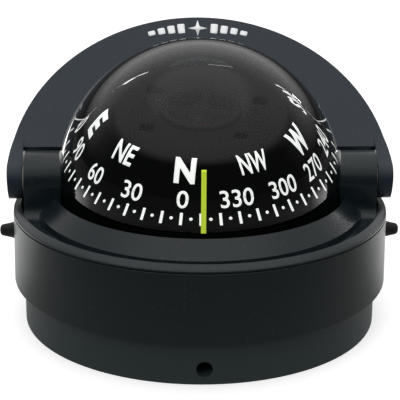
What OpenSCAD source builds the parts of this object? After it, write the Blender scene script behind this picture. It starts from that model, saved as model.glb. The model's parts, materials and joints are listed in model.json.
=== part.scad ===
// Surface-mounted marine compass with a fluid-filled dome, a gimballed
// direct-reading card and a tilting hood.
// The origin is the centre of the foot, on the deck. +Z is up and the
// reader looks along +Y, so the lubber line stands on the -Y side.

/* [Body] */
// Outer diameter of the drum at its top edge
body_d = 105; // [105:1:130]
// Height of the dome's centre above the deck
dome_centre_h = 40.4; // [38:0.1:50]
// Height of the drum's bottom rim above the deck
drum_bottom_h = 12.2; // [12:0.1:14]
// Thickness of the drum's wall
drum_wall = 2.5; // [2:0.1:3.2]
// Widening of the drum's radius from its top to its bottom
drum_draft = 0.2; // [0:0.05:0.6]

/* [Base] */
// Outer diameter of the base ring at the deck
foot_d = 98.4; // [94:0.1:99]
// Thickness of the base ring's floor
floor_t = 2; // [1.6:0.1:2.1]
// Circle on which the deck screws stand
deck_screw_pcd = 76; // [74:1:82]
// Diameter of each deck screw hole
deck_hole_d = 4.2; // [3.2:0.1:5]
// Diameter of the two compensator access holes
access_d = 4.25; // [3:0.05:4.6]
// Diameter of the hole that the cable gland fills
gland_d = 5.2; // [4.4:0.1:5.8]
// Diameter of the cable passage through the gland
cable_d = 3.2; // [2.4:0.1:3.6]

/* [Dome] */
// Outer diameter of the clear dome
dome_d = 77.6; // [62:0.1:78]
// Thickness of the dome
dome_wall = 2; // [1.6:0.1:2.6]
// Width of the dome's clamping flange beyond its outside
dome_flange_w = 4.8; // [4:0.1:5]

/* [Bezel] */
// Dark gap between the dome and the bezel's inner edge
bezel_gap = 2.04; // [1.6:0.02:2.4]
// Width of the bezel's sloping face
bezel_face_w = 4.61; // [4:0.01:5]
// Drop of the sloping face across its width
bezel_face_drop = 4.39; // [3.5:0.01:5]
// Drop of the bezel's inner edge below the dome's centre
bezel_drop = 3.52; // [3:0.02:4]
// Width of the raised outer lip
lip_w = 2.08; // [1.6:0.02:2.6]

/* [Hood] */
// Angle of the hood above its folded position
hood_raise = 42; // [0:1:90]
// Outer diameter of the hood
hood_d = 107.8; // [107.8:0.1:131]
// Thickness of the hood's top plate
hood_plate_t = 2.2; // [1.6:0.1:3]
// Width of each hood ear along the hinge axis
ear_w = 4.1; // [3.4:0.1:5]
// Diameter of each hinge boss
boss_d = 16; // [12:0.1:17]
// Drop of the hinge axis below the dome's centre
hinge_drop = 0.7; // [0:0.1:1.5]
// Diameter of the hood's pivot screws
pivot_d = 3; // [2.4:0.1:3.6]

/* [Card and gimbals] */
// Angle of the card's north mark to the left of the front
card_heading = 12; // [-180:1:180]
// Height of the card's crown above the dome's centre
crown_h = 14; // [11:0.1:15]
// Height of the hub's spoked wheel above the crown
hub_rise = 1; // [0.2:0.1:1.4]
// Drop of the gimbal axes below the dome's centre
gimbal_drop = 6; // [5:0.1:7]
// Height of each gimbal ring
gimbal_ring_h = 4; // [3.2:0.1:5]
// Diameter of the gimbal pins
gimbal_pin_d = 1.8; // [1.4:0.1:2.2]
// Dip of the card and gimbals towards the reader, in degrees, as the magnets settle
gimbal_dip = 4; // [0:1:6]
// Width of the lubber line
lubber_w = 1.25; // [1:0.05:2]
// Height of the lubber line's top above the dome's centre, before the dip
lubber_top = 14.1; // [11:0.1:14.5]

/* [Compensator] */
// Height of the fore-and-aft adjusting rod above the deck
rod_h = 4.3; // [4.2:0.1:4.8]
// Rise from the fore-and-aft rod to the athwartships rod
rod_rise = 4.3; // [4:0.1:4.5]
// Diameter of both adjusting rods
rod_d = 2.5; // [2:0.1:3]

/* [Side screws] */
// Drop of the side screws below the dome's centre
side_drop = 15.9; // [15.5:0.1:16.2]
// Diameter of each rubber cap at the drum
cap_d = 4.7; // [4.2:0.1:5.6]
// Length of each rubber cap
cap_l = 4.4; // [3.6:0.1:5]

/* [Hidden] */
$fn = 96;

// Clearances
run_gap = 0.05;
fit_gap = 0.1;
air_gap = 0.4;
eps = 0.01;

// Levels, all above the deck
zc = dome_centre_h;
bezel_in_z = zc - bezel_drop;
bezel_out_z = bezel_in_z - bezel_face_drop;
lip_top_z = bezel_in_z - 3.25;
lip_edge_z = lip_top_z - 1.28;
lip_bottom_z = lip_edge_z - 0.4;
seam_h = 0.3;
drum_top_z = lip_bottom_z - seam_h;
groove_z = lip_top_z - 2.83;
rebate_z = drum_top_z - 2.25;
dome_flange_t = 2.5;
dome_flange_top_z = zc - 10;
dome_flange_z = dome_flange_top_z - dome_flange_t;
seal_t = 0.6;
bowl_top_z = dome_flange_z - seal_t;
bowl_flange_t = 2.5;
bowl_flange_z = bowl_top_z - bowl_flange_t;
hinge_z = zc - hinge_drop;
gimbal_z = zc - gimbal_drop;
side_z = zc - side_drop;
athwart_z = rod_h + rod_rise;
carrier_r = 2.2;
bowl_floor_z = athwart_z + carrier_r + 1.6;

// Radii of the outside
body_r = body_d / 2;
drum_in_r = body_r - drum_wall;
rebate_r = body_r - 1.3;
lip_in_r = body_r - 0.1 - lip_w;
foot_r = foot_d / 2;
base_top_r = body_r - 2;
spigot_r = drum_in_r - fit_gap;
spigot_in_r = spigot_r - 2.4;
base_in_r = foot_r - 2.7;
hood_r = hood_d / 2 + (body_d - 105) / 2;
ear_in_r = hood_r - ear_w;
boss_r = boss_d / 2;
boss_swing_gap = 1;
hood_front_y = boss_r + boss_swing_gap;
washer_t = 0.7;
boss_out = ear_in_r - washer_t - 2 * run_gap;

// Radii of the capsule
dome_r = dome_d / 2;
dome_in_r = dome_r - dome_wall;
dome_flange_r = dome_r + dome_flange_w;
bezel_in_r = dome_r + bezel_gap;
bezel_out_r = bezel_in_r + bezel_face_w;
seat_r = dome_in_r - air_gap;
seat_in_r = seat_r - 1.8;
ring_r = seat_in_r - air_gap;
ring_in_r = ring_r - 2.2;
frame_r = ring_in_r - 0.8;
frame_in_r = frame_r - 2;
bowl_flange_r = drum_in_r - 1;
bowl_t = 1.6;
screw_circle_r = (dome_flange_r + 0.3 + drum_in_r) / 2;

// Card and what hangs on it
lubber_in_r = frame_r - 1.2;
card_r = lubber_in_r - 0.8;
card_t = 0.9;
hub_r = 8.3 * card_r / 29.2;
window_w = 3.2;
crown_z = zc + crown_h;

// Swinging weight, kept clear of the bowl's floor
swing_r = gimbal_z - bowl_floor_z - bowl_t - 0.6;
swing_angle = 41;
ballast_r = swing_r * sin(swing_angle);
ballast_z = gimbal_z - swing_r * cos(swing_angle);
ballast_t = 3.2;
post_r = 1.5;
ledge_z = bowl_top_z - 2.9;

// Cable gland, whose rim stands just outside the sloping wall
gland_z = rod_h + 0.6;
gland_rim_r = gland_d / 2 + 1;
gland_seat_r = foot_r + (base_top_r - foot_r) * gland_z / drum_bottom_h + 0.45;

// Compensator
rod_r = rod_d / 2;
rod_reach = base_in_r - 3.2;
lug_t = 4;
magnet_pos = 20;
magnet_r = 1.2;
cover_r = 13;
plug_pos = 17.5;
pin_r = gimbal_pin_d / 2;
pivot_r = pivot_d / 2;
screw_r = 1;

module ring(outer, inner, z, height) {
    translate([0, 0, z])
        difference() {
            cylinder(r = outer, h = height);
            translate([0, 0, -eps])
                cylinder(r = inner, h = height + 2 * eps);
        }
}

module along_x(radius, from, to, z) {
    translate([from, 0, z])
        rotate([0, 90, 0])
            cylinder(r = radius, h = to - from);
}

module along_y(radius, from, to, z) {
    translate([0, from, z])
        rotate([-90, 0, 0])
            cylinder(r = radius, h = to - from);
}

// Tips the card and gimbals about the pitch pins
module dipped() {
    translate([0, 0, gimbal_z])
        rotate([gimbal_dip, 0, 0])
            translate([0, 0, -gimbal_z])
                children();
}

module both_sides() {
    children();
    mirror([1, 0, 0])
        children();
}

// Base

module base_gasket() {
    color("#17191b")
        ring(foot_r - 2.6, foot_r - 5.6, 0, 1.2);
}

module side_lug() {
    translate([spigot_r - 3.6, -5, 0])
        cube([3.6, 10, side_z + 2.5]);
}

module rod_lug(height) {
    translate([rod_reach - lug_t - 1, -3.5, 0])
        cube([lug_t, 7, height + 3.2]);
}

module base_ring() {
    color("#262f31")
        difference() {
            union() {
                difference() {
                    union() {
                        cylinder(r1 = foot_r, r2 = base_top_r, h = drum_bottom_h);
                        cylinder(r = spigot_r, h = drum_bottom_h + 5.8);
                    }
                    translate([0, 0, floor_t])
                        cylinder(r1 = base_in_r, r2 = spigot_in_r, h = drum_bottom_h + 5.8);
                    translate([0, 0, -eps])
                        cylinder(r = deck_screw_pcd / 2 - 6, h = floor_t + 2 * eps);
                }
                intersection() {
                    cylinder(r = spigot_r, h = zc);
                    both_sides()
                        side_lug();
                }
                both_sides()
                    rod_lug(athwart_z);
                for (turn = [90, 270])
                    rotate(turn)
                        rod_lug(rod_h);
            }
            ring(foot_r - 2.6, foot_r - 5.6, -eps, 1.2 + eps);
            for (turn = [45:90:315])
                rotate(turn)
                    translate([deck_screw_pcd / 2, 0, -eps])
                        cylinder(d = deck_hole_d, h = floor_t + 2 * eps);
            both_sides()
                along_x(screw_r + run_gap, spigot_r - 5, body_r, side_z);
            along_y(access_d / 2, -body_r, -base_in_r + 3, rod_h);
            along_x(access_d / 2, base_in_r - 3, body_r, athwart_z);
            along_y(gland_d / 2, base_in_r - 3, body_r, gland_z);
            along_y(gland_rim_r + run_gap, gland_seat_r - run_gap, body_r + 2, gland_z);
            along_y(rod_r + run_gap, -rod_reach, rod_reach, rod_h);
            along_x(rod_r + run_gap, -rod_reach, rod_reach, athwart_z);
        }
}

module cable_gland() {
    color("#17191b")
        difference() {
            union() {
                along_y(gland_d / 2 - run_gap, base_in_r - 1.4, gland_seat_r + 0.05, gland_z);
                along_y(gland_rim_r, gland_seat_r, gland_seat_r + 0.85, gland_z);
            }
            along_y(cable_d / 2, base_in_r - 3, body_r + 2, gland_z);
        }
}

// Drum and its screws

module drum() {
    color("#1b2325")
        difference() {
            translate([0, 0, drum_bottom_h])
                cylinder(r1 = body_r + drum_draft, r2 = body_r, h = drum_top_z - drum_bottom_h);
            translate([0, 0, drum_bottom_h - eps])
                cylinder(r = drum_in_r, h = zc);
            translate([0, 0, rebate_z])
                cylinder(r = rebate_r, h = zc);
            both_sides()
                along_x(screw_r + 0.4, drum_in_r - 1, body_r + 1, side_z);
            both_sides()
                along_x(cap_d / 2 + 0.3, body_r - 0.2, body_r + 2, side_z);
        }
}

module side_screws() {
    color("#b59a4c")
        both_sides() {
            along_x(screw_r, spigot_r - 3.2, body_r - 0.2, side_z);
            along_x(1.45, body_r - 0.2, body_r + 1.8, side_z);
        }
}

module side_cap() {
    tip_r = cap_d / 2 - 0.65;
    nose = 1.2;
    color("#111415")
        translate([body_r - 0.2, 0, side_z])
            rotate([0, 90, 0])
                rotate_extrude()
                    difference() {
                        union() {
                            polygon([
                                [0, 0], [cap_d / 2 + 0.15, 0], [cap_d / 2 + 0.15, 0.4],
                                [cap_d / 2 - 0.1, 0.8], [tip_r, cap_l - nose], [0, cap_l - nose]
                            ]);
                            intersection() {
                                square([tip_r, cap_l]);
                                translate([tip_r - nose, cap_l - nose])
                                    circle(r = nose, $fn = 32);
                            }
                            square([tip_r - nose, cap_l]);
                        }
                        square([1.5, 2]);
                    }
}

module side_cap_right() {
    side_cap();
}

module side_cap_left() {
    mirror([1, 0, 0])
        side_cap();
}

// Bezel with its lip and hinge bosses

module bezel_profile() {
    polygon([
        [bezel_in_r, bezel_in_z],
        [bezel_out_r, bezel_out_z],
        [bezel_out_r + 0.5, groove_z],
        [lip_in_r - 1.1, groove_z],
        [lip_in_r, lip_top_z],
        [body_r - 0.5, lip_edge_z + 0.45],
        [body_r - 0.1, lip_edge_z],
        [body_r - 0.1, lip_bottom_z],
        [body_r - 0.6, lip_bottom_z],
        [body_r - 0.6, drum_top_z],
        [rebate_r - run_gap, drum_top_z],
        [rebate_r - run_gap, rebate_z],
        [spigot_r, rebate_z],
        [spigot_r, bowl_top_z],
        [dome_flange_r + 0.3, bowl_top_z],
        [dome_flange_r + 0.3, dome_flange_top_z],
        [bezel_in_r + 0.4, dome_flange_top_z],
        [bezel_in_r, bezel_in_z - 2]
    ]);
}

// Side view of a boss: a round top on a foot that sweeps out into the bezel
module boss_profile() {
    sweep_r = 4;
    foot_z = dome_flange_top_z + fit_gap;
    foot_top = groove_z + sweep_r;
    half = boss_r - 0.1;
    circle(r = boss_r);
    difference() {
        translate([-half - sweep_r, foot_z - hinge_z])
            square([2 * (half + sweep_r), hinge_z - foot_z]);
        for (side = [-1, 1]) {
            translate([side * (half + sweep_r), foot_top - hinge_z])
                circle(r = sweep_r, $fn = 48);
            translate([side * (half + sweep_r) - sweep_r, foot_top - hinge_z])
                square([2 * sweep_r, hinge_z]);
        }
    }
}

module boss() {
    translate([dome_r, 0, hinge_z])
        rotate([90, 0, 90])
            linear_extrude(boss_out - dome_r)
                boss_profile();
}

module bezel() {
    color("#30373d")
        difference() {
            union() {
                rotate_extrude()
                    bezel_profile();
                intersection() {
                    both_sides()
                        boss();
                    cylinder(r = lip_in_r - 0.2, h = 2 * zc);
                }
            }
            translate([0, 0, dome_flange_top_z - 1])
                cylinder(r = dome_r + 0.5, h = zc);
            both_sides()
                along_x(pivot_r, bezel_in_r + 1, body_r, hinge_z);
            for (turn = [22.5:45:337.5])
                rotate(turn)
                    translate([screw_circle_r, 0, bowl_top_z - eps])
                        cylinder(r = screw_r + run_gap, h = 2.2);
        }
}

module bezel_screws() {
    color("#b9bcc0")
        for (turn = [22.5:45:337.5])
            rotate(turn)
                translate([screw_circle_r, 0, 0]) {
                    translate([0, 0, bowl_flange_z - 1.4])
                        difference() {
                            cylinder(r = 2, h = 1.4);
                            translate([-0.3, -3, -eps])
                                cube([0.6, 6, 0.6]);
                        }
                    translate([0, 0, bowl_flange_z - eps])
                        cylinder(r = screw_r, h = bowl_flange_t + 2);
                }
}

// Capsule

module dome() {
    color("#9fb0b4", 0.35)
        difference() {
            union() {
                translate([0, 0, zc])
                    sphere(r = dome_r);
                translate([0, 0, dome_flange_z])
                    cylinder(r = dome_r, h = zc - dome_flange_z);
                translate([0, 0, dome_flange_z])
                    cylinder(r = dome_flange_r, h = dome_flange_t);
            }
            translate([0, 0, zc])
                sphere(r = dome_in_r);
            translate([0, 0, dome_flange_z - eps])
                cylinder(r = dome_in_r, h = zc - dome_flange_z + eps);
            translate([0, 0, dome_flange_z - dome_r])
                cube([3 * dome_r, 3 * dome_r, 2 * dome_r], center = true);
        }
}

module dome_seal() {
    color("#141414")
        ring(dome_flange_r, dome_in_r + 0.4, bowl_top_z, seal_t);
}

module bowl() {
    tip_r = ballast_r + 9;
    color("#0f1212")
        difference() {
            rotate_extrude()
                polygon([
                    [9, bowl_floor_z],
                    [tip_r, bowl_floor_z],
                    [seat_r + 2, ledge_z - 2.6],
                    [seat_r + 2, bowl_flange_z],
                    [bowl_flange_r, bowl_flange_z],
                    [bowl_flange_r, bowl_top_z],
                    [seat_r + fit_gap, bowl_top_z],
                    [seat_r + fit_gap, ledge_z],
                    [seat_in_r, ledge_z],
                    [seat_in_r, ledge_z - 2],
                    [tip_r - 1, bowl_floor_z + bowl_t],
                    [9, bowl_floor_z + bowl_t]
                ]);
            both_sides()
                translate([spigot_r - 5.4, -6.5, 0])
                    cube([10, 13, zc]);
            for (turn = [22.5:45:337.5])
                rotate(turn)
                    translate([screw_circle_r, 0, bowl_flange_z - eps])
                        cylinder(r = screw_r + 0.3, h = bowl_flange_t + 2 * eps);
            rotate(45)
                translate([plug_pos, 0, bowl_floor_z - eps])
                    cylinder(r = 2 + run_gap, h = bowl_t + 2 * eps);
            rotate(135)
                translate([plug_pos, 0, bowl_floor_z - eps])
                    cylinder(r = 2 + run_gap, h = bowl_t + 2 * eps);
            for (turn = [0:90:270])
                rotate(turn + 45)
                    translate([cover_r - 2, 0, bowl_floor_z - eps])
                        cylinder(r = 0.65, h = 1.2);
        }
}

module gimbal_seat() {
    color("#101314")
        difference() {
            ring(seat_r, seat_in_r, ledge_z, gimbal_z + pin_r + 1.3 - ledge_z);
            along_x(pin_r, -dome_r, dome_r, gimbal_z);
        }
}

module pitch_pins() {
    color("#c9ccd0")
        both_sides()
            along_x(pin_r, ring_in_r + 0.3, seat_r - 0.1, gimbal_z);
}

module fill_plug() {
    color("#b59a4c")
        rotate(45)
            translate([plug_pos, 0, 0]) {
                translate([0, 0, bowl_floor_z - 1.4])
                    difference() {
                        cylinder(r = 3, h = 1.4);
                        translate([-4, -0.4, -eps])
                            cube([8, 0.8, 0.7]);
                    }
                translate([0, 0, bowl_floor_z - eps])
                    cylinder(r = 2, h = bowl_t);
            }
}

module diaphragm() {
    color("#1c1c1c")
        difference() {
            union() {
                translate([0, 0, bowl_floor_z - 0.8])
                    cylinder(r = cover_r, h = 0.8);
                translate([0, 0, bowl_floor_z - eps])
                    cylinder(r = 6, h = 1);
            }
            for (turn = [45:90:315])
                rotate(turn)
                    translate([cover_r - 2, 0, bowl_floor_z - 1])
                        cylinder(r = 0.65, h = 1.2);
        }
}

module diaphragm_cover() {
    color("#7d8387")
        difference() {
            translate([0, 0, bowl_floor_z - 2])
                cylinder(r = cover_r, h = 1.2);
            translate([0, 0, bowl_floor_z - 2 - eps])
                cylinder(r = 1, h = 2);
            for (turn = [45:90:315])
                rotate(turn)
                    translate([cover_r - 2, 0, bowl_floor_z - 2 - eps])
                        cylinder(r = 0.65, h = 2);
        }
}

module cover_screws() {
    color("#b9bcc0")
        for (turn = [45:90:315])
            rotate(turn)
                translate([cover_r - 2, 0, 0]) {
                    translate([0, 0, bowl_floor_z - 2.7])
                        cylinder(r = 1.3, h = 0.7);
                    translate([0, 0, bowl_floor_z - 2 - eps])
                        cylinder(r = 0.6, h = 3);
                }
}

// Night lighting

module at_lamp() {
    rotate(135)
        translate([plug_pos, 0, 0])
            children();
}

module lamp_lens() {
    color("#49b860", 0.7)
        at_lamp() {
            translate([0, 0, bowl_floor_z - eps])
                cylinder(r = 2, h = bowl_t);
            translate([0, 0, bowl_floor_z - 0.6])
                cylinder(r = 2.9, h = 0.6);
        }
}

module lamp_led() {
    color("#c8f0c8", 0.8)
        at_lamp()
            translate([0, 0, bowl_floor_z - 2.8])
                cylinder(r = 1.2, h = 2.1);
}

module lamp_holder() {
    color("#202426")
        at_lamp()
            difference() {
                translate([0, 0, bowl_floor_z - 4])
                    cylinder(r = 3.4, h = 4);
                translate([0, 0, bowl_floor_z - 2.8])
                    cylinder(r = 1.25, h = 4);
                translate([0, 0, bowl_floor_z - 0.7])
                    cylinder(r = 2.95, h = 1);
            }
}

// Hood and its hinge

module at_hinge() {
    translate([0, 0, hinge_z])
        rotate([hood_raise, 0, 0])
            children();
}

// Side view of an ear, in the hood's own folded position
module ear_profile() {
    circle(r = 5.5);
    polygon([
        [-3.9, -3.9], [0, -5.7], [hood_front_y + 3, -5.7],
        [hood_front_y + 3, 2.5], [0, 2.5 + 3], [-3.9, 3.9]
    ]);
}

module hood_ear() {
    difference() {
        intersection() {
            translate([ear_in_r, 0, 0])
                rotate([90, 0, 90])
                    linear_extrude(ear_w)
                        ear_profile();
            translate([0, 0, -20])
                cylinder(r = hood_r, h = 40);
        }
        along_x(pivot_r + run_gap, ear_in_r - 1, hood_r + 1, 0);
        along_x(4.6, ear_in_r + ear_w - 1.9, hood_r + 1, 0);
    }
}

module hood_plate() {
    top = 2.5;
    difference() {
        union() {
            translate([0, 0, top - hood_plate_t])
                cylinder(r = hood_r, h = hood_plate_t);
            ring(hood_r, hood_r - 2.3, -5.7, 5.7 + top);
        }
        translate([0, 0, -10])
            linear_extrude(20)
                scale([1, (dome_r + 7.3) / (dome_r + 1)])
                    circle(r = dome_r + 1, $fn = 180);
        translate([-2 * hood_r, -4 * hood_r + hood_front_y, -10])
            cube([4 * hood_r, 4 * hood_r, 20]);
    }
}

module hood() {
    color("#3d444c")
        at_hinge() {
            hood_plate();
            both_sides()
                hood_ear();
        }
}

module hood_pivots() {
    color("#b9bcc0")
        both_sides() {
            along_x(pivot_r, bezel_in_r + 1.5, ear_in_r + ear_w - 1.9 + run_gap, hinge_z);
            along_x(2.7, ear_in_r + ear_w - 1.9 + run_gap, ear_in_r + ear_w - 0.95, hinge_z);
        }
}

module hood_washers() {
    color("#d9d9d2")
        both_sides()
            difference() {
                along_x(4, boss_out, boss_out + washer_t, hinge_z);
                along_x(pivot_r + 0.15, boss_out - 1, boss_out + 2, hinge_z);
            }
}

module hood_pivot_caps() {
    color("#15181a")
        at_hinge()
            both_sides()
                along_x(4.6, ear_in_r + ear_w - 0.8, ear_in_r + ear_w - 0.1, 0);
}

// Gimbals

module gimbal_ring() {
    color("#15191a")
        difference() {
            ring(ring_r, ring_in_r, gimbal_z - gimbal_ring_h / 2, gimbal_ring_h);
            along_x(pin_r + run_gap, -dome_r, dome_r, gimbal_z);
            along_y(pin_r, -dome_r, dome_r, gimbal_z);
        }
}

module roll_pins() {
    color("#c9ccd0")
        for (turn = [0, 180])
            rotate(turn)
                along_y(pin_r, frame_in_r + 0.3, ring_r - 0.3, gimbal_z);
}

module gimbal_frame() {
    ring_z = gimbal_z - gimbal_ring_h / 2;
    hub_z = ballast_z + ballast_t;
    arm_t = 1.8;
    color("#181c1d")
        difference() {
            union() {
                ring(frame_r, frame_in_r, ring_z, gimbal_ring_h);
                intersection() {
                    rotate_extrude()
                        polygon([
                            [3, hub_z], [6, hub_z], [frame_in_r + 0.5, ring_z],
                            [frame_in_r + 0.5, ring_z + arm_t], [6, hub_z + arm_t + 0.6],
                            [3, hub_z + arm_t + 0.6]
                        ]);
                    union()
                        for (turn = [45, 135])
                            rotate(turn)
                                cube([2 * frame_r, 7, 4 * zc], center = true);
                }
                translate([0, 0, hub_z])
                    cylinder(r = 6, h = 3);
            }
            translate([0, 0, hub_z - 1])
                cylinder(r = post_r, h = 6);
            along_y(pin_r + run_gap, -dome_r, dome_r, gimbal_z);
        }
}

module ballast_weight() {
    color("#b08d3e")
        ring(ballast_r, post_r, ballast_z, ballast_t);
}

module pivot_post() {
    color("#c2a552")
        translate([0, 0, ballast_z])
            cylinder(r = post_r, h = crown_z - 5 - ballast_z);
}

module pivot_needle() {
    color("#dfe2e6")
        translate([0, 0, crown_z - 5]) {
            cylinder(r = 0.7, h = 1);
            translate([0, 0, 1])
                cylinder(r1 = 0.7, r2 = 0.12, h = 2.4);
        }
}

module lubber_line() {
    color("#bed23c")
        intersection() {
            ring(lubber_in_r + 1, lubber_in_r, gimbal_z + gimbal_ring_h / 2,
                 zc + lubber_top - gimbal_z - gimbal_ring_h / 2);
            translate([-lubber_w / 2, -dome_r, 0])
                cube([lubber_w, dome_r, 2 * zc]);
        }
}

// Card

// Half section of the card: a flared rim, a steep flank and a flat crown
function card_outline(inset) = [
    for (p = [
        [29.2, -1.9], [28.0, -0.6], [26.4, 1.4], [25.0, 3.9], [23.4, 7.0],
        [21.8, 9.8], [19.8, 12.3], [17.0, 13.7], [12.5, 14.0]
    ])
        [p[0] * card_r / 29.2 - inset, zc + p[1] * crown_h / 14 - inset * 0.55]
];

module card_turned() {
    rotate(-card_heading)
        children();
}

module card() {
    outside = card_outline(0);
    inside = card_outline(card_t);
    last = len(outside) - 1;
    color("#0c0e0e")
        card_turned()
            difference() {
                rotate_extrude()
                    polygon(concat(
                        outside,
                        [[hub_r + fit_gap, crown_z], [hub_r + fit_gap, crown_z - card_t * 0.55]],
                        [for (i = [last:-1:0]) inside[i]]
                    ));
                for (x = [-1, 1], y = [-1, 1])
                    translate([x * 10.4 * card_r / 29.2, y * 8 * card_r / 29.2, crown_z])
                        cube([window_w, window_w, 6], center = true);
            }
}

module card_hub() {
    cap_r = 2.6;
    cap_h = 0.9;
    spoke_t = 0.8;
    seat_t = 0.9;
    color("#26292a")
        card_turned()
            difference() {
                union() {
                    ring(hub_r, hub_r - 1.3, crown_z - seat_t, seat_t + hub_rise);
                    for (turn = [0, 90])
                        rotate(turn)
                            translate([-hub_r + 0.6, -0.6, crown_z + hub_rise - spoke_t])
                                cube([2 * hub_r - 1.2, 1.2, spoke_t]);
                    translate([0, 0, crown_z - seat_t])
                        cylinder(r1 = cap_r, r2 = cap_r - 0.8, h = seat_t + hub_rise + cap_h);
                }
                translate([0, 0, crown_z - 1])
                    cylinder(r = 1.2, h = 1.2);
            }
}

module jewel_cup() {
    color("#a33348")
        difference() {
            translate([0, 0, crown_z - 3])
                cylinder(r = 1.2, h = 3.2);
            translate([0, 0, crown_z - 3 - eps])
                cylinder(r1 = 1, r2 = 0.35, h = 1.45);
        }
}

module card_float() {
    inner_r = hub_r + 0.6;
    step_r = 11.2 * card_r / 29.2;
    outer_r = 15 * card_r / 29.2;
    color("#141615")
        card_turned()
            difference() {
                rotate_extrude()
                    polygon([
                        [inner_r, crown_z - card_t * 0.55], [step_r, crown_z - card_t * 0.55],
                        [step_r, crown_z - 1.2], [outer_r, crown_z - 1.2],
                        [outer_r, crown_z - 4.9], [inner_r, crown_z - 4.9]
                    ]);
                for (x = [-1, 1])
                    translate([x * 10.4 * card_r / 29.2, 0, crown_z - 5])
                        cube([2.6, 60, 2.6], center = true);
                for (x = [-1, 1], y = [-1, 1])
                    translate([x * 10.4 * card_r / 29.2, y * 8 * card_r / 29.2, crown_z])
                        cube([window_w, window_w, 14], center = true);
            }
}

module card_magnets() {
    color("#8c9196")
        card_turned()
            for (x = [-1, 1])
                translate([x * 10.4 * card_r / 29.2, 0, crown_z - 5])
                    cube([2.6, 20, 2.6], center = true);
}

// Compensator

module rod(length) {
    difference() {
        translate([0, 0, -length / 2])
            cylinder(r = rod_r, h = length);
        for (end = [-1, 1])
            translate([0, 0, end * length / 2])
                cube([0.6, 2 * rod_r + 1, 1.6], center = true);
    }
    for (end = [-1, 1])
        translate([0, 0, end * magnet_pos - 3])
            difference() {
                cylinder(r = carrier_r, h = 6);
                translate([0, 0, -eps])
                    cylinder(r = rod_r, h = 6 + 2 * eps);
                along_x(magnet_r, -5, 5, 3);
            }
}

module rod_magnets() {
    for (end = [-1, 1], side = [0, 180])
        translate([0, 0, end * magnet_pos])
            rotate(side)
                along_x(magnet_r, rod_r + run_gap, carrier_r - 0.2, 0);
}

module fore_aft() {
    translate([0, 0, rod_h])
        rotate([-90, 0, 0])
            children();
}

module athwart() {
    translate([0, 0, athwart_z])
        rotate([0, 90, 0])
            children();
}

module fore_aft_rod() {
    color("#b59a4c")
        fore_aft()
            rod(2 * rod_reach - 0.6);
}

module fore_aft_magnets() {
    color("#8c9196")
        fore_aft()
            rod_magnets();
}

module athwart_rod() {
    color("#b59a4c")
        athwart()
            rod(2 * rod_reach - 0.6);
}

module athwart_magnets() {
    color("#8c9196")
        athwart()
            rod_magnets();
}

base_gasket();
base_ring();
cable_gland();
drum();
bezel();
bezel_screws();
side_screws();
side_cap_left();
side_cap_right();
dome();
dome_seal();
bowl();
gimbal_seat();
dipped() roll_pins();
fill_plug();
diaphragm();
diaphragm_cover();
cover_screws();
lamp_lens();
lamp_led();
lamp_holder();
hood_washers();
hood_pivots();
hood();
hood_pivot_caps();
dipped() gimbal_ring();
pitch_pins();
dipped() gimbal_frame();
dipped() ballast_weight();
dipped() pivot_post();
dipped() pivot_needle();
dipped() lubber_line();
dipped() card();
dipped() card_hub();
dipped() jewel_cup();
dipped() card_float();
dipped() card_magnets();
fore_aft_rod();
fore_aft_magnets();
athwart_rod();
athwart_magnets();
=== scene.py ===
"""Looks for the surface-mounted marine compass: finishes, dial print, fluid dome, light and camera."""

import json
import math

import bmesh
import bpy
from mathutils import Matrix, Vector


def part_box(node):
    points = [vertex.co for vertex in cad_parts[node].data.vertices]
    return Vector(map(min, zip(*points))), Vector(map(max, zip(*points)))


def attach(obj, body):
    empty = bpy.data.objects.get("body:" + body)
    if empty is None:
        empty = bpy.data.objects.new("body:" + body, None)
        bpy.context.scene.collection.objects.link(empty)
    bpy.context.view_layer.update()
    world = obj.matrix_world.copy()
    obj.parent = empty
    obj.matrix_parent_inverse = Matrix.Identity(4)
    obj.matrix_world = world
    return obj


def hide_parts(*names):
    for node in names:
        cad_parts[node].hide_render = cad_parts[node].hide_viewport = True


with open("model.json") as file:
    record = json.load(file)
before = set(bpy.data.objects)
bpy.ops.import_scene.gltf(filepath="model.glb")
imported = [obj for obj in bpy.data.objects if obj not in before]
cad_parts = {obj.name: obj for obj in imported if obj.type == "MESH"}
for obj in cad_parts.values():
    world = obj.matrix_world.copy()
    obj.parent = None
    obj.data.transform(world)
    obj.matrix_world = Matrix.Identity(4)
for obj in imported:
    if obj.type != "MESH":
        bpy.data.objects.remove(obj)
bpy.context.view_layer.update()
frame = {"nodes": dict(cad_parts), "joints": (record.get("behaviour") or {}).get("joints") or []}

MM = 0.001
JOINTS = {joint["name"]: joint for joint in frame["joints"]}

# ---------------------------------------------------------------------------
# Sizes, from the frame and a few maker's dimensions
# ---------------------------------------------------------------------------

# Dome. One refractive index stands for the acrylic and the fluid.
DOME_IOR = 1.45
DOME_R = 38.8 * MM
DOME_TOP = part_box("dome")[1].z
DOME_Z = DOME_TOP - DOME_R
DOME_FLANGE_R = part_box("dome")[1].x
DOME_FLANGE_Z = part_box("dome")[0].z
DOME_FLANGE_T = 2.5 * MM
# Drop below the dome's centre of the top edge of the black band, painted shade inside the dome's skirt
SHADE_BAND_DROP = 3.2 * MM
SEAT_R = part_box("gimbal_seat")[1].x
BOWL_FLOOR_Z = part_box("bowl")[0].z

# Card. Angles are in degrees; the north mark's is from the front, to the right.
CARD_HEADING = 12.0
NORTH_MARK = -11.2
GIMBAL = Vector(JOINTS["gimbal_pitch"]["pos_m"])
CARD_AXIS = Vector(JOINTS["card_spin"]["axis"])
DIP = Vector((0, 0, 1)).rotation_difference(CARD_AXIS).to_matrix()
# Hood, at rest raised by its tilt range
HINGE = Vector(JOINTS["hood_tilt"]["pos_m"])
HOOD_RAISE = -JOINTS["hood_tilt"]["range_deg"][0]
HOOD_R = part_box("hood")[1].x
HOOD_TOP = 2.5 * MM


# ---------------------------------------------------------------------------
# Shader graphs
# ---------------------------------------------------------------------------


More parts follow.
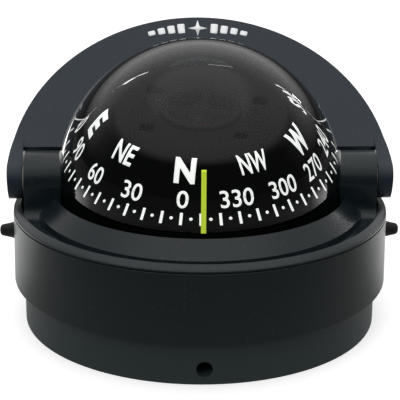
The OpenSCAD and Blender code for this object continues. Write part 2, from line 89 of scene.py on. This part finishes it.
class Socket:
    """One value in a shader graph. Arithmetic on it adds the Math nodes."""

    def __init__(self, graph, output):
        self.graph = graph
        self.output = output

    def math(self, operation, *values):
        return self.graph.node("ShaderNodeMath", {"operation": operation}, dict(enumerate(values)))

    def __add__(self, other):
        return self.math("ADD", self, other)

    def __radd__(self, other):
        return self.math("ADD", other, self)

    def __sub__(self, other):
        return self.math("SUBTRACT", self, other)

    def __rsub__(self, other):
        return self.math("SUBTRACT", other, self)

    def __mul__(self, other):
        return self.math("MULTIPLY", self, other)

    def __rmul__(self, other):
        return self.math("MULTIPLY", other, self)

    def __truediv__(self, other):
        return self.math("DIVIDE", self, other)


class Finish:
    """One material, or the world, built node by node."""

    def __init__(self, name, world=False):
        self.material = (bpy.data.worlds if world else bpy.data.materials).new(name)
        self.material.use_nodes = True
        self.tree = self.material.node_tree
        self.tree.nodes.clear()

    def node(self, kind, settings=None, inputs=None, output=0):
        """Adds a node: its settings first, then each input's value or link. Returns one output."""
        made = self.tree.nodes.new(kind)
        for key, value in (settings or {}).items():
            if key == "stops":
                self.set_stops(made.color_ramp, value)
            else:
                setattr(made, key, value)
        for key, value in (inputs or {}).items():
            if isinstance(value, Socket):
                self.tree.links.new(value.output, made.inputs[key])
            else:
                made.inputs[key].default_value = value
        return Socket(self, made.outputs[output])

    @staticmethod
    def set_stops(ramp, stops):
        while len(ramp.elements) < len(stops):
            ramp.elements.new(1.0)
        for element, (place, value) in zip(ramp.elements, stops):
            element.position = place
            element.color = (value, value, value, 1.0)

    def place(self):
        return self.node("ShaderNodeTexCoord", output="Object")

    def noise(self, scale, detail=2.0, roughness=0.5, stretch=None, shift=0.0):
        """Noise from 0 to 1. Scale is in cycles per metre."""
        at = self.place()
        if stretch or shift:
            at = self.node(
                "ShaderNodeMapping",
                inputs={"Vector": at, "Location": (shift,) * 3, "Scale": stretch or (1, 1, 1)},
            )
        return self.node(
            "ShaderNodeTexNoise",
            inputs={"Vector": at, "Scale": scale, "Detail": detail, "Roughness": roughness},
        )

    def ramp(self, value, *stops):
        return self.node("ShaderNodeValToRGB", {"stops": stops}, {"Fac": value})

    def mix(self, factor, first, second):
        """Mixes two colours."""
        return self.node(
            "ShaderNodeMix",
            {"data_type": "RGBA"},
            {"Factor": factor, 6: rgba(first), 7: rgba(second)},
            output=2,
        )

    def bump(self, height, distance, strength=1.0):
        return self.node(
            "ShaderNodeBump",
            inputs={"Height": height, "Distance": distance, "Strength": strength},
        )

    def shade(self, **inputs):
        """Ends the material in a Principled shader. Words in the names are joined with _."""
        named = {key.replace("_", " ").title().replace("Ior", "IOR"): value for key, value in inputs.items()}
        if not isinstance(named["Base Color"], Socket):
            named["Base Color"] = rgba(named["Base Color"])
        shader = self.node("ShaderNodeBsdfPrincipled", inputs=named)
        surface = self.tree.nodes.new("ShaderNodeOutputMaterial").inputs["Surface"]
        self.tree.links.new(shader.output, surface)
        return self.material


def rgba(colour):
    if isinstance(colour, Socket):
        return colour
    return (*colour, 1.0)


def darker(colour, share):
    return tuple(channel * share for channel in colour)


# ---------------------------------------------------------------------------
# Finishes
# ---------------------------------------------------------------------------


def moulded_plastic(name, colour, gloss, grain=0.02 * MM):
    """Satin injection-moulded plastic: spark-eroded grain, faint flow marks and a little dust."""
    f = Finish(name)
    flow = f.noise(60, detail=3)
    grain_height = f.noise(3800, detail=2, roughness=0.6)
    dust = f.ramp(f.noise(1500, detail=1, shift=0.7), (0.70, 0.0), (0.76, 1.0))
    shade = f.mix(flow, darker(colour, 0.86), darker(colour, 1.14))
    return f.shade(
        base_color=f.mix(dust * 0.10, shade, (0.30, 0.31, 0.32)),
        roughness=gloss + (flow - 0.5) * 0.08 + (grain_height - 0.5) * 0.12,
        normal=f.bump(grain_height, grain, 0.35),
        specular_ior_level=0.5,
    )


def moulded_rubber(name, colour=(0.010, 0.011, 0.011)):
    """Matte rubber with a dusty bloom."""
    f = Finish(name)
    bloom = f.noise(300, detail=4, roughness=0.6)
    pores = f.noise(5200, detail=1)
    return f.shade(
        base_color=f.mix(bloom, darker(colour, 0.7), darker(colour, 1.8)),
        roughness=0.58 + (bloom - 0.5) * 0.2,
        normal=f.bump(pores, 0.03 * MM, 0.4),
        specular_ior_level=0.4,
    )


def turned_metal(name, colour, rough, tarnish):
    """Lathe-turned metal: fine tool rings round Z and a patchy tarnish."""
    f = Finish(name)
    rings = f.noise(900, detail=2, stretch=(0.2, 0.2, 9.0))
    patches = f.ramp(f.noise(220, detail=4, roughness=0.65), (0.42, 0.0), (0.68, 1.0))
    return f.shade(
        base_color=f.mix(patches * 0.6, colour, tarnish),
        metallic=1.0,
        roughness=rough + (rings - 0.5) * 0.14 + patches * 0.12,
        normal=f.bump(rings, 0.01 * MM, 0.5),
    )


def clear_dome(name):
    """The acrylic dome and its clear damping fluid, seen as one body."""
    f = Finish(name)
    return f.shade(
        base_color=(0.97, 0.985, 0.975),
        roughness=0.0,
        ior=DOME_IOR,
        transmission_weight=1.0,
    )


# Heights above the dome's centre, in millimetres, between which the card's crown turns to a lighter grey,
# painted light from overhead
CROWN_LIGHT_FROM = 11.0
CROWN_LIGHT_TO = 12.6


def submerged(name, colour, spread=0.25, lit_crown=None):
    """Matte plastic under the damping fluid, which takes away its shine.

    The card's top is coloured a lighter grey: painted light where the overhead light falls on the crown.
    """
    f = Finish(name)
    cloud = f.noise(180, detail=3)
    shade = f.mix(cloud, darker(colour, 1 - spread), darker(colour, 1 + spread))
    # Painted light: above these heights the crown is coloured lighter than the flank, as the overhead light
    # makes it look.
    if lit_crown:
        along = f.node(
            "ShaderNodeVectorMath",
            {"operation": "DOT_PRODUCT"},
            {0: f.place(), 1: CARD_AXIS},
            output="Value",
        )
        height = (along - (GIMBAL.dot(CARD_AXIS) + DOME_Z - GIMBAL.z)) / MM
        top = (height - CROWN_LIGHT_FROM) / (CROWN_LIGHT_TO - CROWN_LIGHT_FROM)
        shade = f.mix(f.ramp(top, (0.0, 0.0), (1.0, 1.0)), shade, lit_crown)
    return f.shade(
        base_color=shade,
        roughness=0.60 + (cloud - 0.5) * 0.1,
        specular_ior_level=0.0,
    )


def printed_ink(name, colour, glow):
    """Pad-printed ink with slightly uneven cover, and a glow that is painted light, making it read brighter
    than the lamps light it.
    """
    f = Finish(name)
    cover = f.noise(1600, detail=3)
    return f.shade(
        base_color=f.mix(cover, darker(colour, 0.93), colour),
        roughness=0.45 + (cover - 0.5) * 0.1,
        specular_ior_level=0.1,
        # The emission is painted light: the ink glows though it is no lamp.
        emission_color=rgba(colour),
        emission_strength=glow,
    )


HOUSING = moulded_plastic("drum_black_satin", (0.0080, 0.0150, 0.0160), 0.36)
FOOT = moulded_plastic("foot_black_satin", (0.0280, 0.0440, 0.0450), 0.40)
BEZEL = moulded_plastic("bezel_blue_black", (0.0080, 0.0140, 0.0172), 0.27)
HOOD = moulded_plastic("hood_blue_grey", (0.0125, 0.0225, 0.0360), 0.42)
INNER = submerged("capsule_matte_black", (0.0010, 0.0013, 0.0011))
HUB = submerged("hub_dark_grey", (0.0055, 0.0056, 0.0049))
NYLON = moulded_plastic("natural_nylon", (0.62, 0.61, 0.56), 0.45)
RUBBER = moulded_rubber("black_rubber")
BRASS = turned_metal("turned_brass", (0.72, 0.50, 0.20), 0.28, (0.34, 0.20, 0.08))
STEEL = turned_metal("stainless_steel", (0.62, 0.62, 0.63), 0.26, (0.42, 0.41, 0.40))
MAGNET = turned_metal("magnet_steel", (0.24, 0.24, 0.25), 0.42, (0.13, 0.12, 0.12))
DOME = clear_dome("dome_acrylic_and_fluid")
# The card's lighter crown colour is painted light from overhead.
CARD = submerged("card_flat_black", (0.0020, 0.0028, 0.0023), lit_crown=(0.0100, 0.0104, 0.0096))
# The glow given to each ink is painted light, which brightens the print.
WHITE_INK = printed_ink("dial_white_ink", (0.88, 0.89, 0.88), 0.55)
HOOD_INK = printed_ink("hood_white_ink", (0.84, 0.85, 0.86), 0.30)
LUBBER = printed_ink("lubber_yellow_green", (0.52, 0.66, 0.045), 0.60)
JEWEL = printed_ink("jewel_red", (0.42, 0.03, 0.07), 0.0)
LENS = printed_ink("lens_green", (0.06, 0.36, 0.10), 0.0)

CAD_FINISH = {
    "base_ring": FOOT,
    "drum": HOUSING,
    "bezel": BEZEL,
    "hood": HOOD,
    "hood_pivot_caps": RUBBER,
    "base_gasket": RUBBER,
    "cable_gland": RUBBER,
    "side_cap_left": RUBBER,
    "side_cap_right": RUBBER,
    "dome_seal": RUBBER,
    "diaphragm": RUBBER,
    "bowl": INNER,
    "gimbal_seat": INNER,
    "gimbal_ring": INNER,
    "gimbal_frame": INNER,
    "lamp_holder": INNER,
    "card_hub": HUB,
    "card_float": INNER,
    "hood_washers": NYLON,
    "bezel_screws": STEEL,
    "cover_screws": STEEL,
    "diaphragm_cover": STEEL,
    "pitch_pins": STEEL,
    "roll_pins": STEEL,
    "hood_pivots": STEEL,
    "pivot_needle": STEEL,
    "side_screws": BRASS,
    "fill_plug": BRASS,
    "ballast_weight": BRASS,
    "pivot_post": BRASS,
    "fore_aft_rod": BRASS,
    "athwart_rod": BRASS,
    "card_magnets": MAGNET,
    "fore_aft_magnets": MAGNET,
    "athwart_magnets": MAGNET,
    "jewel_cup": JEWEL,
    "lamp_lens": LENS,
    "lamp_led": LENS,
    "lubber_line": LUBBER,
}

# Radius of the broken edge on each moulding
EDGE_BREAK = {
    "base_ring": 0.25 * MM,
    "drum": 0.30 * MM,
    "bezel": 0.28 * MM,
    "hood": 0.32 * MM,
    "side_cap_left": 0.15 * MM,
    "side_cap_right": 0.15 * MM,
    "lubber_line": 0.12 * MM,
    "card_hub": 0.12 * MM,
    "gimbal_seat": 0.15 * MM,
}


def finish_cad_node(name, material):
    node = frame["nodes"][name]
    node.data.materials.clear()
    node.data.materials.append(material)
    if name in EDGE_BREAK:
        weld = node.modifiers.new("weld", "WELD")
        weld.merge_threshold = 0.002 * MM
        edge = node.modifiers.new("edge", "BEVEL")
        edge.width = EDGE_BREAK[name]
        edge.segments = 3
        edge.limit_method = "ANGLE"
        edge.angle_limit = math.radians(28)
        edge.harden_normals = False
        normals = node.modifiers.new("normals", "WEIGHTED_NORMAL")
        normals.weight = 80
        normals.keep_sharp = False


for cad_name, cad_material in CAD_FINISH.items():
    finish_cad_node(cad_name, cad_material)


# ---------------------------------------------------------------------------
# Mesh helpers
# ---------------------------------------------------------------------------


def add_piece(name, mesh, material, body):
    """Links a finished mesh as a piece that rides on a CAD body."""
    piece = bpy.data.objects.new(name, mesh)
    bpy.context.scene.collection.objects.link(piece)
    mesh.materials.append(material)
    for face in mesh.polygons:
        face.use_smooth = True
    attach(piece, body)
    return piece


def arc(centre_r, centre_z, radius, start, stop, steps):
    """Points of an arc in the half plane, from one angle in degrees to another."""
    points = []
    for step in range(steps + 1):
        angle = math.radians(start + (stop - start) * step / steps)
        points.append((centre_r + radius * math.cos(angle), centre_z + radius * math.sin(angle)))
    return points


def lathe(name, profile, segments=192):
    """Turns a profile of (radius, height) round Z. A profile that starts and ends on the axis closes."""
    bm = bmesh.new()
    rows = []
    for radius, height in profile:
        if radius < 1e-7:
            rows.append([bm.verts.new((0, 0, height))])
            continue
        row = []
        for index in range(segments):
            turn = 2 * math.pi * index / segments
            row.append(bm.verts.new((radius * math.cos(turn), radius * math.sin(turn), height)))
        rows.append(row)
    for first, second in zip(rows, rows[1:]):
        for index in range(segments):
            after = (index + 1) % segments
            corners = [first[index % len(first)], first[after % len(first)]]
            corners += [second[after % len(second)], second[index % len(second)]]
            bm.faces.new(list(dict.fromkeys(corners)))
    if len(rows[0]) > 1:
        for index in range(segments):
            after = (index + 1) % segments
            bm.faces.new([rows[-1][index], rows[-1][after], rows[0][after], rows[0][index]])
    bmesh.ops.recalc_face_normals(bm, faces=bm.faces)
    mesh = bpy.data.meshes.new(name)
    bm.to_mesh(mesh)
    bm.free()
    return mesh


def blend_four(t, before, start, stop, after):
    """The value a share t of the way from start to stop, on a smooth run through all four."""
    rise = (stop - before) * t
    bend = (2 * before - 5 * start + 4 * stop - after) * t * t
    twist = (3 * start - before - 3 * stop + after) * t ** 3
    return 0.5 * (2 * start + rise + bend + twist)


def smooth_line(points, steps=8):
    """A smooth curve through points, as a list of points."""
    first = tuple(2 * a - b for a, b in zip(points[0], points[1]))
    last = tuple(2 * a - b for a, b in zip(points[-1], points[-2]))
    run = [first, *points, last]
    line = []
    for a, b, c, d in zip(run, run[1:], run[2:], run[3:]):
        for step in range(steps):
            t = step / steps
            line.append(tuple(blend_four(t, *values) for values in zip(a, b, c, d)))
    line.append(tuple(points[-1]))
    return line


# ---------------------------------------------------------------------------
# Dome and fluid
# ---------------------------------------------------------------------------


SKIRT_FOOT = DOME_FLANGE_Z + DOME_FLANGE_T
# Clearance between the dome's body and the hidden walls round it
CLEAR = 0.05 * MM


def make_dome():
    """The acrylic and the fluid as one closed body, which diffuse and shadow rays pass."""
    in_wall = SEAT_R + 0.8 * MM
    bottom = BOWL_FLOOR_Z + 0.9 * MM
    profile = list(reversed(arc(0, DOME_Z, DOME_R, 0, 90, 72)))
    profile[0] = (0.0, DOME_TOP)
    profile += [
        (DOME_R, DOME_Z - 4 * MM),
        (DOME_R, SKIRT_FOOT + 0.6 * MM),
        (DOME_R + 0.6 * MM, SKIRT_FOOT),
        (DOME_FLANGE_R - CLEAR, SKIRT_FOOT),
        (DOME_FLANGE_R - CLEAR, DOME_FLANGE_Z + CLEAR),
        (in_wall, DOME_FLANGE_Z + CLEAR),
        (in_wall, DOME_FLANGE_Z - 5 * MM),
        (22 * MM, bottom),
        (0.0, bottom),
    ]
    mesh = lathe("dome_and_fluid", profile, 256)
    piece = add_piece("dome_and_fluid", mesh, DOME, "base")
    piece.visible_shadow = False
    piece.visible_diffuse = False
    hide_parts("dome")


def make_lining():
    """A black band on the capsule's inside, below the bezel's edge: painted shade that keeps the gap round
    the dome dark.
    """
    band_t = 0.06 * MM
    in_wall = SEAT_R + 0.6 * MM
    outside = [
        (DOME_R - 0.10 * MM, DOME_Z - SHADE_BAND_DROP),
        (DOME_R - 0.10 * MM, SKIRT_FOOT),
        (in_wall, DOME_FLANGE_Z + 0.2 * MM),
        (in_wall, DOME_FLANGE_Z - 4.5 * MM),
    ]
    inside = [(radius - band_t, height) for radius, height in reversed(outside)]
    mesh = lathe("capsule_shade_band", outside + inside)
    # Painted shade: this dark sheet stands where the gap between the dome and the bezel falls in shade.
    add_piece("capsule_shade_band", mesh, INNER, "base")


make_dome()
make_lining()


# ---------------------------------------------------------------------------
# Card
# ---------------------------------------------------------------------------

# Half section of the card from rim to crown, in millimetres from the dome's centre
CARD_SECTION = [
    (29.2, -1.9), (28.0, -0.6), (26.4, 1.4), (25.0, 3.9), (23.4, 7.0),
    (21.8, 9.8), (19.8, 12.3), (17.0, 13.7), (12.5, 14.0), (8.4, 14.0),
]


def card_line():
    """The card's outside as points in metres, with the distance of each from the rim."""
    line = [(r * MM, DOME_Z + z * MM) for r, z in smooth_line(CARD_SECTION)]
    lengths = [0.0]
    for (r0, z0), (r1, z1) in zip(line, line[1:]):
        lengths.append(lengths[-1] + math.hypot(r1 - r0, z1 - z0))
    return line, lengths


CARD_LINE, CARD_LENGTHS = card_line()


def on_card(azimuth, climb, lift):
    """A point on the card. Azimuth is in degrees from the front, to the right; climb is up from the rim."""
    index = 1
    while index < len(CARD_LENGTHS) - 1 and CARD_LENGTHS[index] < climb:
        index += 1
    start, stop = CARD_LENGTHS[index - 1], CARD_LENGTHS[index]
    share = (climb - start) / (stop - start)
    (r0, z0), (r1, z1) = CARD_LINE[index - 1], CARD_LINE[index]
    slope = Vector((r1 - r0, z1 - z0)).normalized()
    radius = r0 + (r1 - r0) * share + slope.y * lift
    height = z0 + (z1 - z0) * share - slope.x * lift
    turn = math.radians(azimuth)
    return Vector((radius * math.sin(turn), -radius * math.cos(turn), height))


def dipped(point):
    """Tips a point with the card, which settles a few degrees down towards the reader."""
    return GIMBAL + DIP @ (point - GIMBAL)


WINDOW_X = 10.4 * MM
WINDOW_Y = 8.0 * MM
WINDOW_W = 3.2 * MM


def in_window(x, y):
    """True over one of the four square windows in the card's crown."""
    return abs(abs(x) - WINDOW_X) < WINDOW_W / 2 and abs(abs(y) - WINDOW_Y) < WINDOW_W / 2


def on_crown(point):
    return point.z > DOME_Z + 11 * MM


def cut_windows(bm):
    """Cuts the four windows out of the card's crown."""
    for axis, place in ((0, WINDOW_X), (1, WINDOW_Y)):
        normal = Vector((0, 0, 0))
        normal[axis] = 1
        for side in (-1, 1):
            for edge in (-1, 1):
                near = [v for v in bm.verts if on_crown(v.co)]
                near += [e for e in bm.edges if all(on_crown(v.co) for v in e.verts)]
                near += [face for face in bm.faces if all(on_crown(v.co) for v in face.verts)]
                cut = normal * (side * place + edge * WINDOW_W / 2)
                bmesh.ops.bisect_plane(bm, geom=near, plane_co=cut, plane_no=normal, dist=1e-7)
    holes = []
    for face in bm.faces:
        middle = face.calc_center_median()
        if on_crown(middle) and in_window(middle.x, middle.y):
            holes.append(face)
    bmesh.ops.delete(bm, geom=holes, context="FACES")


def make_card():
    """The card as a thin shell, turned to its heading and dipped."""
    thickness = 0.9 * MM
    inside = [(r - thickness, z - 0.5 * thickness) for r, z in CARD_LINE[:-1]]
    inside.append((CARD_LINE[-1][0], CARD_LINE[-1][1] - 0.5 * thickness))
    bm = bmesh.new()
    mesh = lathe("card_shell", CARD_LINE + inside[::-1], 256)
    bm.from_mesh(mesh)
    cut_windows(bm)
    turn = Matrix.Rotation(math.radians(-CARD_HEADING), 3, "Z")
    for v in bm.verts:
        v.co = dipped(turn @ v.co)
    bm.to_mesh(mesh)
    bm.free()
    piece = add_piece("card_shell", mesh, CARD, "card")
    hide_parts("card")


make_card()


def cut_across(bm, axis, count, step):
    """Cuts a flat mark into strips, so that it can be bent."""
    normal = Vector((0, 0, 0))
    normal[axis] = 1
    for index in range(-count, count + 1):
        everything = bm.verts[:] + bm.edges[:] + bm.faces[:]
        bmesh.ops.bisect_plane(bm, geom=everything, plane_co=normal * index * step, plane_no=normal)


def glyphs(text, width, height, bold):
    """A flat mesh of text, centred, cut into small facets so that it can be bent."""
    curve = bpy.data.curves.new("glyphs", "FONT")
    curve.body = text
    curve.offset = bold
    curve.resolution_u = 5
    holder = bpy.data.objects.new("glyphs", curve)
    bpy.context.scene.collection.objects.link(holder)
    bpy.context.view_layer.update()
    flat = bpy.data.meshes.new_from_object(holder.evaluated_get(bpy.context.evaluated_depsgraph_get()))
    bpy.data.objects.remove(holder)
    bpy.data.curves.remove(curve)
    bm = bmesh.new()
    bm.from_mesh(flat)
    bpy.data.meshes.remove(flat)
    xs = [v.co.x for v in bm.verts]
    ys = [v.co.y for v in bm.verts]
    size = Vector((max(xs) - min(xs), max(ys) - min(ys), 1))
    centre = Vector((max(xs) + min(xs), max(ys) + min(ys), 0)) / 2
    for v in bm.verts:
        v.co = Vector(((v.co.x - centre.x) * width / size.x, (v.co.y - centre.y) * height / size.y, 0))
    bmesh.ops.remove_doubles(bm, verts=bm.verts, dist=0.002 * MM)
    cell = 0.5 * MM
    for axis, span in ((0, width), (1, height)):
        cut_across(bm, axis, int(span / cell / 2) + 1, cell)
    return bm


# The ink's clearance over what it is printed on, and its thickness
INK_LIFT = 0.012 * MM
INK_T = 0.015 * MM


def join_marks(name, parts, material, body):
    """Joins several flat marks into one piece and gives them the ink's thickness."""
    whole = bmesh.new()
    for bm in parts:
        patch = bpy.data.meshes.new("patch")
        bm.to_mesh(patch)
        bm.free()
        whole.from_mesh(patch)
        bpy.data.meshes.remove(patch)
    mesh = bpy.data.meshes.new(name)
    whole.to_mesh(mesh)
    whole.free()
    piece = add_piece(name, mesh, material, body)
    ink = piece.modifiers.new("ink", "SOLIDIFY")
    ink.thickness = INK_T
    ink.offset = 1.0
    return piece


def wrap_on_card(bm, azimuth, climb):
    """Bends a flat mark onto the card, its middle at that azimuth and climb."""
    for v in bm.verts:
        height = climb + v.co.y
        turn = azimuth + math.degrees(v.co.x / -on_card(0, height, 0).y)
        v.co = dipped(on_card(turn, height, INK_LIFT))
    return bm


def bar(width, height, rounding):
    """A flat bar with round corners."""
    bm = bmesh.new()
    points = []
    reach_x = width / 2 - rounding
    reach_y = height / 2 - rounding
    for side, end, start in ((1, 1, 0), (-1, 1, 90), (-1, -1, 180), (1, -1, 270)):
        for x, y in arc(side * reach_x, end * reach_y, rounding, start, start + 90, 4):
            points.append(bm.verts.new((x, y, 0)))
    bm.faces.new(points)
    cut_across(bm, 1, 3, height / 7)
    return bm


def azimuth_of(bearing):
    return NORTH_MARK - bearing


# The dial's rows: height of the marks, and the climb of their middles from the card's rim
TICK_W = 0.72 * MM
TICK_H = 3.3 * MM
TICK_CLIMB = 2.65 * MM
DOT_D = 0.84 * MM
DOT_CLIMB = 2.8 * MM
FIGURE_H = 4.2 * MM
FIGURE_CLIMB = 7.5 * MM
CARDINAL_H = 6.3 * MM
CARDINAL_CLIMB = 14.4 * MM
BETWEEN_H = 5.0 * MM
BETWEEN_CLIMB = 15.05 * MM

# Bearing, letters and their width in millimetres
CARDINALS = ((0, "N", 5.0), (90, "E", 4.4), (180, "S", 4.8), (270, "W", 7.2))
BETWEEN = ((45, "NE", 6.6), (135, "SE", 6.6), (225, "SW", 7.6), (315, "NW", 7.6))


def make_ticks():
    """A tick every ten degrees, with a dot between."""
    ticks = []
    for bearing in range(0, 360, 10):
        tick = bar(TICK_W, TICK_H, 0.10 * MM)
        ticks.append(wrap_on_card(tick, azimuth_of(bearing), TICK_CLIMB))
        dot = bar(DOT_D, DOT_D, 0.41 * MM)
        ticks.append(wrap_on_card(dot, azimuth_of(bearing + 5), DOT_CLIMB))
    join_marks("card_ticks", ticks, WHITE_INK, "card")


def make_figures():
    """A number every thirty degrees, and the eight points of the compass above them."""
    figures = []
    for bearing in range(0, 360, 30):
        text = str(bearing)
        width = (2.75 * len(text) + 0.1) * MM
        figure = glyphs(text, width, FIGURE_H, 0.010)
        figures.append(wrap_on_card(figure, azimuth_of(bearing), FIGURE_CLIMB))
    for bearing, text, width in CARDINALS:
        letter = glyphs(text, width * MM, CARDINAL_H, 0.045)
        figures.append(wrap_on_card(letter, azimuth_of(bearing), CARDINAL_CLIMB))
    for bearing, text, width in BETWEEN:
        letters = glyphs(text, width * MM, BETWEEN_H, 0.022)
        figures.append(wrap_on_card(letters, azimuth_of(bearing), BETWEEN_CLIMB))
    join_marks("card_figures", figures, WHITE_INK, "card")


make_ticks()
make_figures()


# ---------------------------------------------------------------------------
# Hood ornament
# ---------------------------------------------------------------------------


def on_hood(azimuth, radius, lift):
    """A point on the hood's top plate, at rest. Azimuth is in degrees from the rear."""
    turn = math.radians(azimuth)
    flat = Vector((radius * math.sin(turn), radius * math.cos(turn), HOOD_TOP + lift))
    return HINGE + Matrix.Rotation(math.radians(HOOD_RAISE), 3, "X") @ flat


def polygon_mark(points):
    bm = bmesh.new()
    bm.faces.new([bm.verts.new((x, y, 0)) for x, y in points])
    return bm


def wrap_on_hood(bm, azimuth, radius):
    for v in bm.verts:
        reach = radius + v.co.y
        v.co = on_hood(azimuth + math.degrees(v.co.x / radius), reach, INK_LIFT)
    return bm


def star(points, outer, inner):
    corners = []
    for index in range(2 * points):
        reach = outer if index % 2 == 0 else inner
        turn = math.pi * index / points
        corners.append((reach * math.sin(turn), reach * math.cos(turn)))
    return polygon_mark(corners)


def make_hood_ornament():
    """A plain four-pointed star between tapering rows of bars."""
    middle = HOOD_R - 3.9 * MM
    marks = [wrap_on_hood(star(4, 2.9 * MM, 0.85 * MM), 0, middle)]
    for side in (-1, 1):
        for index in range(4):
            height = (3.4 - 0.6 * index) * MM
            offset = side * (5.6 + 3.4 * index)
            marks.append(wrap_on_hood(bar(2.1 * MM, height, 0.4 * MM), offset, middle))
    join_marks("hood_ornament", marks, HOOD_INK, "hood")


make_hood_ornament()


# ---------------------------------------------------------------------------
# Floor, light and camera
# ---------------------------------------------------------------------------


def seen_by_camera(f):
    return f.node("ShaderNodeLightPath", output="Is Camera Ray")


# Brightness of the dim room, and of the lit part overhead and behind
ROOM_GLOW = 0.04
STUDIO_GLOW = 0.90


def make_world():
    """A white sweep with a broad soft light overhead. The room in front of the object is dim."""
    f = Finish("studio", world=True)
    way = f.node("ShaderNodeTexCoord", output="Generated")
    y = f.node("ShaderNodeSeparateXYZ", inputs={0: way}, output="Y")
    z = f.node("ShaderNodeSeparateXYZ", inputs={0: way}, output="Z")
    overhead = f.ramp(z, (0.44, 0.0), (0.53, 0.48), (0.80, 0.62), (0.88, 1.0))
    behind = f.ramp(y * 0.5 + 0.5, (0.42, 0.0), (0.60, 0.18), (0.80, 0.75), (0.90, 1.0))
    behind = behind * f.ramp(z, (0.08, 0.02), (0.32, 1.0))
    dim = ROOM_GLOW + overhead.math("MAXIMUM", overhead, behind) * STUDIO_GLOW
    camera = seen_by_camera(f)
    glow = f.node("ShaderNodeBackground", inputs={"Color": (1, 1, 1, 1), "Strength": dim})
    white = f.node("ShaderNodeBackground", inputs={"Color": (1, 1, 1, 1), "Strength": 1.0})
    shader = f.node("ShaderNodeMixShader", inputs={0: camera, 1: glow, 2: white})
    surface = f.tree.nodes.new("ShaderNodeOutputWorld").inputs["Surface"]
    f.tree.links.new(shader.output, surface)
    bpy.context.scene.world = f.material
    bpy.context.scene.view_settings.view_transform = "Standard"


def make_floor():
    """A pale floor. What the object mirrors of it falls off towards the front."""
    f = Finish("pale_floor")
    y = f.node("ShaderNodeSeparateXYZ", inputs={0: f.place()}, output="Y")
    sweep = f.ramp(y * 2.5 + 0.5, (0.20, 0.06), (0.425, 0.15), (0.50, 0.22), (0.565, 0.72), (0.63, 1.0))
    reach = f.node("ShaderNodeVectorMath", {"operation": "LENGTH"}, {0: f.place()}, output="Value")
    sweep = sweep * f.ramp(reach * 4, (0.68, 1.0), (0.95, 0.03))
    camera = seen_by_camera(f)
    floor_glow = f.mix(camera, f.mix(sweep, (0, 0, 0), (1.5, 1.5, 1.5)), (0.55, 0.55, 0.55))
    f.shade(
        base_color=f.mix(camera, (0.08, 0.08, 0.08), (0.80, 0.80, 0.80)),
        roughness=0.8,
        specular_ior_level=0.1,
        emission_color=floor_glow,
        emission_strength=1.0,
    )
    bpy.ops.mesh.primitive_plane_add(size=8, location=(0, 0, -0.02 * MM))
    floor = bpy.context.object
    floor.name = "floor"
    floor.data.materials.append(f.material)


def softbox(name, place, target, width, height, power, mirrored):
    lamp = bpy.data.lights.new(name, "AREA")
    lamp.shape = "RECTANGLE"
    lamp.size = width
    lamp.size_y = height
    lamp.energy = power
    box = bpy.data.objects.new(name, lamp)
    bpy.context.scene.collection.objects.link(box)
    box.location = place
    box.rotation_euler = (Vector(target) - Vector(place)).to_track_quat("-Z", "Y").to_euler()
    box.visible_glossy = mirrored
    return box


def make_lights():
    aim = (0, 0, 0.04)
    softbox("key_above_front", (-0.25, -0.80, 0.80), aim, 0.7, 0.7, 3, False)
    softbox("top", (0.05, 0.10, 1.00), aim, 0.8, 0.8, 1.5, False)
    softbox("right_streak", (0.692, 0.639, 0.404), aim, 0.03, 0.10, 0.10, True)


CAMERA_AZIMUTH = -1.7
CAMERA_ELEVATION = 18.18
CAMERA_DISTANCE = 0.4154
CAMERA_DIP = 0.925
CAMERA_ROLL = 0.4
CAMERA_LENS = 132.7


def make_camera():
    """Stands where the object is best read, and looks a little below the dome's centre."""
    azimuth = math.radians(CAMERA_AZIMUTH)
    elevation = math.radians(CAMERA_ELEVATION)
    back = Vector((
        math.sin(azimuth) * math.cos(elevation),
        -math.cos(azimuth) * math.cos(elevation),
        math.sin(elevation),
    ))
    camera = bpy.data.objects.new("camera", bpy.data.cameras.new("camera"))
    bpy.context.scene.collection.objects.link(camera)
    camera.data.lens = CAMERA_LENS
    camera.data.sensor_width = 36
    camera.data.clip_start = 0.01
    turn = (-back).to_track_quat("-Z", "Y").to_matrix()
    dip = Matrix.Rotation(math.radians(-CAMERA_DIP), 3, "X")
    roll = Matrix.Rotation(math.radians(CAMERA_ROLL), 3, "Z")
    camera.matrix_world = Matrix.LocRotScale(
        Vector((0, 0, DOME_Z)) + back * CAMERA_DISTANCE, (turn @ dip @ roll), None)
    bpy.context.scene.camera = camera


make_world()
make_floor()
make_lights()
make_camera()
